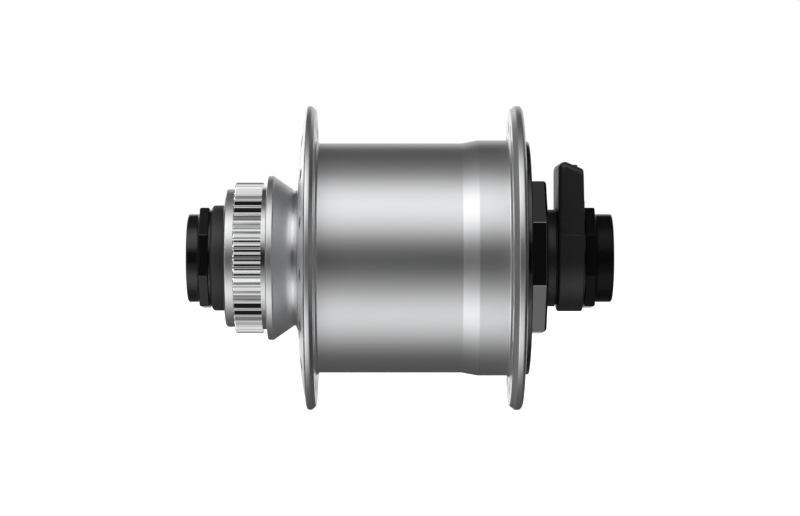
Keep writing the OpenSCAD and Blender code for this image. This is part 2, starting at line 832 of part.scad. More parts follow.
module connector_cap() {
    y0 = cap_edge_h + cap_gap;
    z0 = cap_in_z + cap_gap;
    hollow_half = core_half + cap_gap;
    color("#1d1d1d") placed() difference() {
        union() {
            intersection() {
                translate([0, 0, z0]) linear_extrude(connector_w) head_outline();
                rotate([0, -90, 0]) linear_extrude(2 * head_h, center = true)
                    polygon(cap_side(z0, y0));
            }
            translate([head_w / 4, head_h - rib_drop - rib_h, zr_conn_out - rib_inset])
                cube([rib_w, rib_h, rib_t]);
        }
        translate([-hollow_half, 0, 0]) cube([2 * hollow_half, core_top + cap_gap, half_len]);
        translate([-tongue_half - tongue_gap, 0, tongue_z - tongue_gap])
            cube([2 * (tongue_half + tongue_gap), tongue_top + tongue_gap,
                  tongue_t + blade_t + 2 * tongue_gap]);
        for (i = [0, 1])
            translate([0, core_top + inlet_step + i * inlet_pitch, tongue_z + tongue_t / 2])
                rotate([0, 90, 0]) cylinder(r = inlet_d / 2, h = head_w, $fn = hole_fn);
    }
}

axle();
left_end_cap();
right_end_cap();
left_locknut();
right_locknut();
left_washer();
right_washer();
left_cone();
right_cone();
left_dust_cover();
right_dust_cover();
connector_gasket();
connector_base();
contact_blades();
coil_lead();
stator_core();
coil_former();
coil();
left_claw_yoke();
right_claw_yoke();
left_stator_nut();
right_stator_nut();
left_hub_end();
hub_barrel();
right_cover();
flux_ring();
magnets();
left_cup();
right_cup();
left_seal();
right_seal();
cover_o_ring();
left_balls();
left_ball_cage();
right_balls();
right_ball_cage();
connector_cap();
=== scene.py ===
"""Outer shapes, finishes and studio of a bicycle hub dynamo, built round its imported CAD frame.

Shapes are worked out in millimetres with z along the axle towards the connector, y up and x away from
the camera, and are put into the row frame, where the axle lies along -Y, at the last step.
"""

import json
import math

import bmesh
import bpy
import numpy as np
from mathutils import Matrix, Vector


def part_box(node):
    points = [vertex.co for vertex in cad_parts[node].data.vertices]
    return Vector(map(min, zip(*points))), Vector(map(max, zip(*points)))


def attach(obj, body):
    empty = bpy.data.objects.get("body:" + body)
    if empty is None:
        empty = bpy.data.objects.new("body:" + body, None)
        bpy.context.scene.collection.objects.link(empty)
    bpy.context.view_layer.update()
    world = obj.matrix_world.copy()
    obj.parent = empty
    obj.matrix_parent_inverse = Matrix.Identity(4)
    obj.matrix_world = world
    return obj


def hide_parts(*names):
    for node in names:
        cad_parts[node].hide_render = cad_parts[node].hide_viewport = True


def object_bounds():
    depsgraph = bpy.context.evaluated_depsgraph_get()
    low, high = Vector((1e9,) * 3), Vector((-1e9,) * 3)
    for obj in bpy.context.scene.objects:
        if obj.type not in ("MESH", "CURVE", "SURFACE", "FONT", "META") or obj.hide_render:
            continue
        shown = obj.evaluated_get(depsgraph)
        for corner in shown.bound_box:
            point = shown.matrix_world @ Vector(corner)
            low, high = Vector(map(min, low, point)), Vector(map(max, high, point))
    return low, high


bl_info = {
    "name": "Hub Dynamo",
    "version": (1, 0, 0),
    "blender": (4, 5, 0),
    "location": "View3D > Sidebar > Hub Dynamo",
    "description": "Builds the outer shapes, finishes and studio of a bicycle hub dynamo",
    "category": "Object",
}

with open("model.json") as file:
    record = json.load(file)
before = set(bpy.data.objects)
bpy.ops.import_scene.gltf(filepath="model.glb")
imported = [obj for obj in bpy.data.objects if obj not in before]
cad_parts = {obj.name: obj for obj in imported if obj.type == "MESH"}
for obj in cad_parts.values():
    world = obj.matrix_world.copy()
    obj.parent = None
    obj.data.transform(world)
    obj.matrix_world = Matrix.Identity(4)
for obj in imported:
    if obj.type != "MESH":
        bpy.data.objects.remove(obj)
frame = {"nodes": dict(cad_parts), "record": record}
CAD_BOX = [list(corner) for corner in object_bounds()]

MM = 0.001
SLOT_OF = {s["node"]: s["material_slot"] for s in frame["record"]["subparts"]}
BODY_OF = {n: b for b, members in frame["record"]["behaviour"]["bodies"].items() for n in members}

# How fine the meshes are
ROUND_STEPS = 4
FINE_COLUMNS = 192
CELL_COLUMNS = 24
CELL_SIDE_STEPS = 6
OCTAGON_STEPS = 20
SHARP_ANGLE = math.radians(38)
MERGE_DISTANCE = 1e-7
SHORTEST = 1e-9

# Sizes that several pieces share, in millimetres and degrees
SEAT_R = 8.52
LIP_R = 12.385
CUP_FIT = 0.02
SPIGOT_IN, SPIGOT_R = 23.48, 25.58
SPOKE_HOLES = 16
HOLED_BAND = (28.6, 34.2)
HOLE_INSET = 4.9
HOLE_CHAMFER = 0.25
FLANGE_TURN = 7.3
SADDLE_R = 10.4
FOOT_SLOPE = 0.13


def reach(node):
    """Outer radius of a CAD node, and its lower and higher end along the axle, in millimetres."""
    low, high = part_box(node)
    return high.x / MM, -high.y / MM, -low.y / MM


def reach_from_middle(side, node):
    """The same, but a left node's ends are counted from the middle outwards, as a right node's are."""
    r, low, high = reach(node)
    return (r, -high, -low) if side == "left" else (r, low, high)


# Shapes


def grid(rows, columns, wrap_rows=True):
    """Quads between the points of a grid whose columns close on themselves, and whose rows may."""
    i, j = np.meshgrid(
        np.arange(rows if wrap_rows else rows - 1), np.arange(columns), indexing="ij"
    )
    i, j = i.ravel(), j.ravel()
    i_next, j_next = (i + 1) % rows, (j + 1) % columns
    return np.stack(
        [i * columns + j, i * columns + j_next, i_next * columns + j_next, i_next * columns + j], 1
    )


def circle_angles(count, turn=0.0):
    """Even angles round the axle, the first at turn degrees."""
    return math.radians(turn) + np.linspace(0, 2 * math.pi, count, endpoint=False)


def rounded(corners, radius):
    """A closed outline whose corner C becomes the curve (1-s)^2 A + 2s(1-s) C + s^2 B, where A and B
    lie on the two sides at a distance radius from C, or at two fifths of a shorter side."""
    corners = np.asarray(corners, float)
    back = np.roll(corners, 1, 0) - corners
    ahead = np.roll(corners, -1, 0) - corners
    back_length = np.maximum(np.linalg.norm(back[:, :2], axis=1), SHORTEST)
    ahead_length = np.maximum(np.linalg.norm(ahead[:, :2], axis=1), SHORTEST)
    leg = np.minimum(radius * np.ones(len(corners)), 0.4 * np.minimum(back_length, ahead_length))
    a = corners + back * (leg / back_length)[:, None]
    b = corners + ahead * (leg / ahead_length)[:, None]
    s = np.linspace(0, 1, ROUND_STEPS + 1)[None, :, None]
    curve = (1 - s) ** 2 * a[:, None] + 2 * s * (1 - s) * corners[:, None] + s**2 * b[:, None]
    return curve.reshape(-1, corners.shape[1])


def turned(profile, angles=None, closed=True):
    """A surface of revolution: profile point (r, z) at angle a is (r cos a, r sin a, z). A profile
    that runs anticlockwise, with r to the right and z up, gives faces that point outwards."""
    angles = circle_angles(FINE_COLUMNS) if angles is None else angles
    profile = np.asarray(profile, float)
    r, z = profile[:, :1], profile[:, 1:2]
    points = np.stack([r * np.cos(angles), r * np.sin(angles), z + 0 * angles], -1)
    return points.reshape(-1, 3), [grid(len(profile), len(angles), closed)]


def eight_sided(profile, turn, corner_round):
    """A surface round the axle whose profile point (f, z, w) at angle a is at the distance
    (1-w) f + w k(a), where k is f / cos of the angle from the nearest flat's middle, and an arc of
    radius corner_round takes each corner off. So w is 0 for a circle and 1 for an octagon."""
    half = math.pi / 8
    u = np.linspace(-1, 1, OCTAGON_STEPS, endpoint=False)
    from_middle = np.tile(half * (1.5 * u - 0.5 * u**3), 8)
    middles = np.repeat((2 * np.arange(8) + 1) * half, OCTAGON_STEPS)
    angles = middles + from_middle + math.radians(turn)
    f, z, w = (profile[:, k : k + 1] for k in range(3))
    inner = f - corner_round
    centre = inner / math.cos(half)
    away = half - np.abs(from_middle)
    chord = np.sqrt(np.maximum(corner_round**2 - (centre * np.sin(away)) ** 2, 0))
    on_arc = np.abs(from_middle) > np.arctan(inner / f * math.tan(half))
    octagon = np.where(on_arc, centre * np.cos(away) + chord, f / np.cos(from_middle))
    r = (1 - w) * f + w * octagon
    points = np.stack([r * np.cos(angles), r * np.sin(angles), z + 0 * angles], -1)
    return points.reshape(-1, 3), [grid(len(profile), len(angles))]


def mirrored(shell):
    """The same shell on the rotor side: z changes sign, and each face turns round to stay outwards."""
    points, faces = shell
    return points * [1, 1, -1], [np.asarray(f)[:, ::-1] for f in faces]


def on_side(side, shell):
    """The shell itself on the right, and mirrored on the left."""
    return mirrored(shell) if side == "left" else shell


def seated_ring(r, low, high, radius):
    """A turned ring with a rectangular section, from its seat on the axle out to r."""
    return turned(rounded([(SEAT_R, low), (r, low), (r, high), (SEAT_R, high)], radius))


def spoke_band(upper_z, lower_z, r_in, r_out, hole_r, centre_r, turn):
    """The part of a flange between the radii r_in and r_out with its spoke holes. In each of sixteen
    cells a point is H + t (E - H): E runs round the cell's edge, and H round the hole in the same
    direction seen from the hole's centre. Rows go in over the upper face, down the hole and out."""
    half = math.pi / SPOKE_HOLES
    across = np.linspace(-half, half, CELL_COLUMNS, endpoint=False)
    outwards = np.linspace(r_in, r_out, CELL_SIDE_STEPS, endpoint=False)
    inwards = np.linspace(r_out, r_in, CELL_SIDE_STEPS, endpoint=False)
    side = np.full(CELL_SIDE_STEPS, half)
    along = np.ones(CELL_COLUMNS)
    edge_a = np.concatenate([-across, -side, across, side])
    edge_r = np.concatenate([r_in * along, outwards, r_out * along, inwards])
    edge = np.stack([edge_r * np.cos(edge_a), edge_r * np.sin(edge_a)], -1)
    direction = np.arctan2(edge[:, 1], edge[:, 0] - centre_r)
    ray = np.stack([np.cos(direction), np.sin(direction)], -1)
    centre = np.array([centre_r, 0.0])
    mouth = centre + (hole_r + HOLE_CHAMFER) * ray
    wall = centre + hole_r * ray
    face = [mouth + t * (edge - mouth) for t in (1, 0.75, 0.5, 0.25, 0.06, 0)]

    def at(xy, height, drop=0.0):
        return np.column_stack([xy, height(np.hypot(xy[:, 0], xy[:, 1])) + drop])

    rows = [at(xy, upper_z) for xy in face]
    rows += [at(wall, upper_z, -HOLE_CHAMFER), at(wall, lower_z, HOLE_CHAMFER)]
    rows += [at(xy, lower_z) for xy in face[::-1]]
    cell = np.array(rows)
    shells = []
    for i in range(SPOKE_HOLES):
        a = math.radians(turn) + 2 * half * i
        spin = np.array([[math.cos(a), math.sin(a), 0], [-math.sin(a), math.cos(a), 0], [0, 0, 1]])
        shells.append(((cell @ spin).reshape(-1, 3), [grid(cell.shape[0], cell.shape[1], False)]))
    return shells


def flanged_body(corners, radii, marks, upper_z, lower_z, hole_r, turn):
    """A turned body with spoke holes. marks are the places in the corner list where the holed band
    meets the lower face, inside and outside, and the upper face, outside and inside; the two parts
    of the profile that they leave are turned, and the band closes the surface between them. The
    holes' centres lie HOLE_INSET inside the widest corner."""
    block = ROUND_STEPS + 1
    profile = rounded(corners, radii)
    low_in, low_out, up_out, up_in = marks
    angles = circle_angles(SPOKE_HOLES * CELL_COLUMNS, turn - 180 / SPOKE_HOLES)
    rim = profile[low_out * block : (up_out + 1) * block]
    inner = np.concatenate([profile[up_in * block :], profile[: (low_in + 1) * block]])
    centre_r = max(r for r, z in corners) - HOLE_INSET
    band = spoke_band(upper_z, lower_z, *HOLED_BAND, hole_r, centre_r, turn)
    return [turned(rim, angles, False), turned(inner, angles, False), *band]


def toothed_ring(root, tip, bore, low, high, count, end_round=0.35):
    """A splined tube. Along one tooth's pitch the height over the root follows fixed shares of the
    pitch, and it fades by the share k over the last end_round at each end: r = root + k h(a)."""
    share = np.array(
        [0.0, 0.07, 0.1, 0.14, 0.2, 0.38, 0.43, 0.47, 0.5, 0.53, 0.57, 0.62, 0.8, 0.86, 0.9, 0.93]
    )
    rise = np.array(
        [0.0, 0.0, 0.04, 0.12, 0.29, 0.79, 0.92, 0.985, 1.0, 0.985, 0.92, 0.79, 0.29, 0.12, 0.04, 0.0]
    )
    angles = ((np.arange(count)[:, None] + share) * 2 * math.pi / count).ravel()
    over_root = np.tile(rise * (tip - root), count)
    z = np.array([low, low, low + end_round, high - end_round, high - 0.12, high, high])
    k = np.array([0.0, 1.0, 1.0, 1.0, 0.85, 0.6, 0.0])
    outside = np.array([False, True, True, True, True, True, False])[:, None]
    r = np.where(outside, root + k[:, None] * over_root, bore + 0 * over_root)
    points = np.stack([r * np.cos(angles), r * np.sin(angles), z[:, None] + 0 * r], -1)
    return points.reshape(-1, 3), [grid(len(z), len(angles))]


def shrunk(outline, inset):
    """A closed outline moved inwards by inset: each point goes along n / (1 + p.q), where p and q are
    the outward normals of its two sides and n is their sum."""
    ahead = np.roll(outline, -1, 0) - outline
    back = outline - np.roll(outline, 1, 0)
    ahead = ahead / np.maximum(np.linalg.norm(ahead, axis=1, keepdims=True), SHORTEST)
    back = back / np.maximum(np.linalg.norm(back, axis=1, keepdims=True), SHORTEST)
    p = np.stack([ahead[:, 1], -ahead[:, 0]], -1)
    q = np.stack([back[:, 1], -back[:, 0]], -1)
    along = (p + q) / np.maximum(1 + (p * q).sum(1, keepdims=True), 0.2)
    return outline - inset * along


def soft_prism(outline_at, low, high, low_round, high_round, middle=1):
    """A solid between two places along the axle, through outline_at(z). Each end's edge is a quarter
    circle: at the angle s the inset is R (1 - sin s) and the depth R (1 - cos s)."""
    s = np.linspace(0, math.pi / 2, ROUND_STEPS + 1)
    inset, depth = 1 - np.sin(s), 1 - np.cos(s)
    between = np.linspace(low + low_round, high - high_round, middle + 2)[1:-1]
    insets = np.concatenate([low_round * inset, np.zeros(middle), high_round * inset[::-1]])
    places = np.concatenate([low + low_round * depth, between, high - high_round * depth[::-1]])
    rows = []
    for z, away in zip(places, insets):
        outline = shrunk(outline_at(z), away)
        rows.append(np.column_stack([outline, np.full(len(outline), z)]))
    columns = len(rows[0])
    ends = [list(range(columns))[::-1], [(len(rows) - 1) * columns + k for k in range(columns)]]
    return np.concatenate(rows), [grid(len(rows), columns, False), ends]


def arc(x, y, r, start, end, steps=8):
    """Points of an arc in degrees: centre plus r (cos, sin)."""
    a = np.radians(np.linspace(start, end, steps + 1))
    return np.stack([x + r * np.cos(a), y + r * np.sin(a)], -1)


def head_outline(half, top, corner, foot, saddle):
    """Seen along the axle: two straight sides that reach down to the height foot, a top with rounded
    corners, and a saddle between the sides that follows a circle round the axle."""
    low = math.degrees(math.asin(foot / saddle))
    return np.concatenate(
        [
            [(half, foot)],
            arc(half - corner, top - corner, corner, 0, 90),
            arc(corner - half, top - corner, corner, 90, 180),
            [(-half, foot)],
            arc(0, 0, saddle, 180 - low, low, 20),
        ]
    )


def box_outline(x0, x1, y0, y1, corner):
    """A rectangle with rounded corners, anticlockwise."""
    return np.concatenate(
        [
            arc(x1 - corner, y0 + corner, corner, -90, 0, 4),
            arc(x1 - corner, y1 - corner, corner, 0, 90, 4),
            arc(x0 + corner, y1 - corner, corner, 90, 180, 4),
            arc(x0 + corner, y0 + corner, corner, 180, 270, 4),
        ]
    )


def make_piece(name, shells, nodes, material=None):
    """One mesh object from shells in millimetres. It stands for the nodes, rides on their body and
    takes their slot; points that coincide are merged, and faces are smooth between sharp edges."""
    points, faces, start = [], [], 0
    for shell_points, face_sets in shells:
        points.append(shell_points)
        for face_set in face_sets:
            if isinstance(face_set, np.ndarray):
                faces += (face_set + start).tolist()
            else:
                faces += [[k + start for k in f] for f in face_set]
        start += len(shell_points)
    local = np.concatenate(points)
    world = np.stack([local[:, 0], -local[:, 2], local[:, 1]], 1) * MM
    mesh = bpy.data.meshes.new(name)
    mesh.from_pydata(world, [], faces)
    loose = bmesh.new()
    loose.from_mesh(mesh)
    bmesh.ops.remove_doubles(loose, verts=loose.verts, dist=MERGE_DISTANCE)
    bmesh.ops.dissolve_degenerate(loose, edges=loose.edges, dist=MERGE_DISTANCE)
    loose.to_mesh(mesh)
    loose.free()
    mesh.polygons.foreach_set("use_smooth", np.ones(len(mesh.polygons), bool))
    mesh.set_sharp_from_angle(angle=SHARP_ANGLE)
    piece = bpy.data.objects.new(name, mesh)
    bpy.context.scene.collection.objects.link(piece)
    normals = piece.modifiers.new("Face weights", "WEIGHTED_NORMAL")
    normals.keep_sharp = True
    mesh.materials.append(material or finish(SLOT_OF[nodes[0]]))
    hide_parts(*nodes)
    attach(piece, BODY_OF[nodes[0]])


# Finishes


def add(tree, kind, inputs=None, **settings):
    """A node of the given kind; inputs holds values, or sockets that are linked."""
    made = tree.nodes.new(kind)
    for name, value in settings.items():
        setattr(made, name, value)
    for name, value in (inputs or {}).items():
        if isinstance(value, bpy.types.NodeSocket):
            tree.links.new(value, made.inputs[name])
        else:
            made.inputs[name].default_value = value
    return made


def compute(tree, operation, *values):
    """The result of a Math node on sockets or numbers."""
    return add(tree, "ShaderNodeMath", dict(enumerate(values)), operation=operation).outputs[0]


def mix_colours(tree, factor, first, second):
    """The result of a Mix node on two colours, which its inputs 6 and 7 take and its output 2 gives."""
    return add(tree, "ShaderNodeMix", {0: factor, 6: first, 7: second}, data_type="RGBA").outputs[2]


def spread(tree, value, low, high):
    """A value from 0 to 1, spread between low and high."""
    return add(
        tree, "ShaderNodeMapRange", {"Value": value, "To Min": low, "To Max": high}
    ).outputs["Result"]


def new_group(name, inputs, outputs):
    """An empty shader node group with named float inputs, one Vector input and float outputs."""
    tree = bpy.data.node_groups.new(name, "ShaderNodeTree")
    tree.interface.new_socket("Vector", in_out="INPUT", socket_type="NodeSocketVector")
    for label, value in inputs.items():
        socket = tree.interface.new_socket(label, in_out="INPUT", socket_type="NodeSocketFloat")
        socket.default_value = value
    for label in outputs:
        tree.interface.new_socket(label, in_out="OUTPUT", socket_type="NodeSocketFloat")
    return tree, tree.nodes.new("NodeGroupInput").outputs, tree.nodes.new("NodeGroupOutput").inputs


def lathe_marks():
    """Fine rings from turning: noise along y plus the distance from the axle, so that they run round
    both the barrel and the faces, faded here and there by a broad noise."""
    found = bpy.data.node_groups.get("Lathe Marks")
    if found:
        return found
    tree, given, result = new_group("Lathe Marks", {"Rings per metre": 6000.0}, ["Height"])
    x, y, z = add(tree, "ShaderNodeSeparateXYZ", {"Vector": given["Vector"]}).outputs
    squares = compute(tree, "ADD", compute(tree, "MULTIPLY", x, x), compute(tree, "MULTIPLY", z, z))
    along = compute(tree, "ADD", y, compute(tree, "SQRT", squares))
    rings = add(
        tree, "ShaderNodeTexNoise",
        {"W": compute(tree, "MULTIPLY", along, given["Rings per metre"]), "Scale": 1.0, "Detail": 3.0},
        noise_dimensions="1D",
    )
    broad = add(tree, "ShaderNodeTexNoise", {"Vector": given["Vector"], "Scale": 60.0, "Detail": 2.0})
    height = compute(tree, "MULTIPLY", rings.outputs["Fac"], broad.outputs["Fac"])
    tree.links.new(height, result["Height"])
    return tree


def blasted_grain():
    """The fine grain of a blasted or moulded surface: small noise and smaller cells."""
    found = bpy.data.node_groups.get("Blasted Grain")
    if found:
        return found
    tree, given, result = new_group("Blasted Grain", {"Grains per metre": 5000.0}, ["Height"])
    at_scale = {"Vector": given["Vector"], "Scale": given["Grains per metre"]}
    noise = add(tree, "ShaderNodeTexNoise", {**at_scale, "Detail": 2.0, "Roughness": 0.6})
    cells = add(tree, "ShaderNodeTexVoronoi", at_scale)
    height = compute(tree, "MULTIPLY_ADD", cells.outputs["Distance"], 0.5, noise.outputs["Fac"])
    tree.links.new(height, result["Height"])
    return tree


def handling():
    """What handling leaves: soft smudges, and thin scratches where a stretched noise crosses its
    middle value."""
    found = bpy.data.node_groups.get("Handling")
    if found:
        return found
    tree, given, result = new_group("Handling", {"Smudges per metre": 45.0}, ["Smudge", "Scratch"])
    smudge = add(
        tree, "ShaderNodeTexNoise",
        {"Vector": given["Vector"], "Scale": given["Smudges per metre"], "Detail": 4.0, "Distortion": 0.4},
    )
    soft = add(
        tree, "ShaderNodeMapRange",
        {"Value": smudge.outputs["Fac"], "From Min": 0.35, "From Max": 0.7},
        interpolation_type="SMOOTHSTEP",
    )
    stretched = add(tree, "ShaderNodeMapping", {"Vector": given["Vector"], "Scale": (0.25, 1.0, 2.2)})
    lines = add(
        tree, "ShaderNodeTexNoise",
        {"Vector": stretched.outputs["Vector"], "Scale": 900.0, "Detail": 1.0},
    )
    off_middle = compute(tree, "ABSOLUTE", compute(tree, "SUBTRACT", lines.outputs["Fac"], 0.5))
    thin = add(
        tree, "ShaderNodeMapRange",
        {"Value": off_middle, "From Min": 0.0, "From Max": 0.006, "To Min": 1.0, "To Max": 0.0},
    )
    rare = compute(tree, "GREATER_THAN", smudge.outputs["Fac"], 0.6)
    tree.links.new(soft.outputs["Result"], result["Smudge"])
    tree.links.new(compute(tree, "MULTIPLY", thin.outputs["Result"], rare), result["Scratch"])
    return tree


def look(colour, metallic, rough, grain, bump, rings=0.0, ring_bump=0.0, vary=0.1, worn=0.1, ior=1.5):
    """What a finish is made of: roughness between two values, grains and turning rings per metre with
    the strength of their bumps, and how far smudges darken it and scratches lighten it."""
    return dict(
        colour=colour, metallic=metallic, rough=rough, grain=grain, bump=bump, rings=rings,
        ring_bump=ring_bump, vary=vary, worn=worn, ior=ior,
    )


METAL, NOT_METAL = 1.0, 0.0
BUMP_DISTANCE = 0.0001
FINISHES = {
    "hub_aluminium": look(
        (0.86, 0.865, 0.875), METAL, (0.355, 0.365), 9000.0, 0.03,
        rings=4000.0, ring_bump=0.012, vary=0.012, worn=0.0,
    ),
    "bright_teeth": look(
        (0.86, 0.865, 0.87), METAL, (0.04, 0.05), 9000.0, 0.0, vary=0.02, worn=0.0
    ),
    "axle_aluminium": look(
        (0.72, 0.73, 0.74), METAL, (0.22, 0.34), 7000.0, 0.04,
        rings=7000.0, ring_bump=0.12, vary=0.06, worn=0.3,
    ),
    "bright_groove": look(
        (0.86, 0.865, 0.87), METAL, (0.19, 0.2), 9000.0, 0.0,
        rings=4000.0, ring_bump=0.012, vary=0.02, worn=0.0,
    ),
    # A lighter copy of hub_aluminium with the same roughness: a painted highlight on the collar and the stop
    # flange's rim
    "collar_painted_highlight": look(
        (0.95, 0.955, 0.96), METAL, (0.355, 0.365), 9000.0, 0.03,
        rings=4000.0, ring_bump=0.012, vary=0.012, worn=0.0,
    ),
    "black_anodised": look(
        (0.0075, 0.0075, 0.0077), NOT_METAL, (0.1, 0.14), 8000.0, 0.03,
        rings=5000.0, ring_bump=0.03, ior=1.63,
    ),
    "deep_black": look(
        (0.0068, 0.0068, 0.007), NOT_METAL, (0.14, 0.18), 8000.0, 0.03,
        rings=5000.0, ring_bump=0.03, worn=0.05, ior=1.2,
    ),
    "gloss_black": look(
        (0.004, 0.004, 0.0042), NOT_METAL, (0.08, 0.1), 8000.0, 0.01,
        rings=5000.0, ring_bump=0.02, worn=0.05, ior=1.75,
    ),
    "matt_black": look((0.05, 0.05, 0.051), NOT_METAL, (0.42, 0.48), 5200.0, 0.08),
    "dark_cover": look(
        (0.26, 0.263, 0.268), METAL, (0.1, 0.14), 8000.0, 0.02, rings=5000.0, ring_bump=0.03, vary=0.06
    ),
    "black_plastic": look((0.022, 0.022, 0.023), NOT_METAL, (0.38, 0.46), 5200.0, 0.1, vary=0.15),
    "black_rubber": look((0.014, 0.014, 0.0145), NOT_METAL, (0.6, 0.78), 4200.0, 0.2, vary=0.3),
    "bearing_steel": look(
        (0.66, 0.665, 0.67), METAL, (0.1, 0.2), 9000.0, 0.02,
        rings=8000.0, ring_bump=0.05, vary=0.05, worn=0.2,
    ),
    "soft_iron": look((0.34, 0.345, 0.35), METAL, (0.34, 0.5), 3600.0, 0.15, vary=0.18, worn=0.35),
    "magnet": look((0.16, 0.165, 0.17), METAL, (0.4, 0.55), 5200.0, 0.18, vary=0.2, worn=0.35),
    "copper": look(
        (0.72, 0.30, 0.12), METAL, (0.22, 0.34), 4000.0, 0.03, rings=2600.0, ring_bump=0.6, worn=0.2
    ),
    "contact_brass": look((0.83, 0.64, 0.30), METAL, (0.16, 0.26), 6000.0, 0.04, vary=0.08, worn=0.3),
    "former_plastic": look((0.75, 0.72, 0.62), NOT_METAL, (0.4, 0.52), 4000.0, 0.08, vary=0.05),
    "lead_red": look((0.42, 0.03, 0.02), NOT_METAL, (0.38, 0.5), 3600.0, 0.06),
}


def finish(slot):
    """The material of a record slot: smudges vary its colour and roughness, scratches lighten it, and
    grain and turning rings raise its surface."""
    name = slot.replace("_", " ").capitalize()
    found = bpy.data.materials.get(name)
    if found:
        return found
    kind = FINISHES[slot]
    material = bpy.data.materials.new(name)
    material.use_nodes = True
    tree = material.node_tree
    shader = tree.nodes["Principled BSDF"]
    shader.inputs["Metallic"].default_value = kind["metallic"]
    shader.inputs["IOR"].default_value = kind["ior"]
    place = add(tree, "ShaderNodeTexCoord").outputs["Object"]
    marks = add(tree, "ShaderNodeGroup", node_tree=handling())
    tree.links.new(place, marks.inputs["Vector"])
    plain = np.array(kind["colour"])
    smudged = (*(plain * (1 - kind["vary"])), 1)
    scratched = (*np.minimum(plain * 1.15 + 0.015, 1), 1)
    tinted = mix_colours(tree, marks.outputs["Smudge"], (*plain, 1), smudged)
    scratch = compute(tree, "MULTIPLY", marks.outputs["Scratch"], kind["worn"])
    tree.links.new(mix_colours(tree, scratch, tinted, scratched), shader.inputs["Base Color"])
    tree.links.new(spread(tree, marks.outputs["Smudge"], *kind["rough"]), shader.inputs["Roughness"])
    grain = add(tree, "ShaderNodeGroup", node_tree=blasted_grain())
    tree.links.new(place, grain.inputs["Vector"])
    grain.inputs["Grains per metre"].default_value = kind["grain"]
    bump = add(
        tree, "ShaderNodeBump",
        {"Height": grain.outputs["Height"], "Strength": kind["bump"], "Distance": BUMP_DISTANCE},
    )
    if kind["rings"]:
        rings = add(tree, "ShaderNodeGroup", node_tree=lathe_marks())
        tree.links.new(place, rings.inputs["Vector"])
        rings.inputs["Rings per metre"].default_value = kind["rings"]
        bump = add(
            tree, "ShaderNodeBump",
            {
                "Height": rings.outputs["Height"], "Strength": kind["ring_bump"],
                "Distance": BUMP_DISTANCE, "Normal": bump.outputs["Normal"],
            },
        )
    tree.links.new(bump.outputs["Normal"], shader.inputs["Normal"])
    return material


# What a user would change


class HubSizes(bpy.types.PropertyGroup):
    """Sizes in millimetres that the frame's boxes don't give."""

    edge_round: bpy.props.FloatProperty(
        name="Edge round", description="Radius at the sharper edges of turned pieces, in millimetres",
        default=0.16, min=0.05, max=0.3,
    )
    nut_corner_round: bpy.props.FloatProperty(
        name="Nut corner round", description="Radius at the corners of eight-sided pieces, in millimetres",
        default=0.28, min=0.1, max=0.6,
    )
    octagon_turn: bpy.props.FloatProperty(
        name="Octagon turn", description="Turn of the eight-sided pieces about the axle, in degrees",
        default=19.4, min=0.0, max=45.0,
    )
    spline_teeth: bpy.props.IntProperty(
        name="Spline teeth", description="Number of teeth on the rotor mount", default=48, min=24, max=60
    )
    spoke_hole_radius: bpy.props.FloatProperty(
        name="Spoke hole radius", description="Radius of a spoke hole, in millimetres",
        default=1.3, min=1.1, max=1.5,
    )


class HubStudio(bpy.types.PropertyGroup):
    """Camera and light."""

    camera_distance: bpy.props.FloatProperty(
        name="Camera distance", description="Distance of the camera from the axle", default=0.7,
        subtype="DISTANCE", unit="LENGTH",
    )
    camera_lens: bpy.props.FloatProperty(
        name="Lens", description="Focal length in millimetres", default=133.1
    )
    backdrop: bpy.props.FloatVectorProperty(
        name="Backdrop", description="Colour of floor and backdrop", subtype="COLOR",
        default=(1.0, 1.0, 1.0), min=0.0, max=1.0,
    )


# The pieces


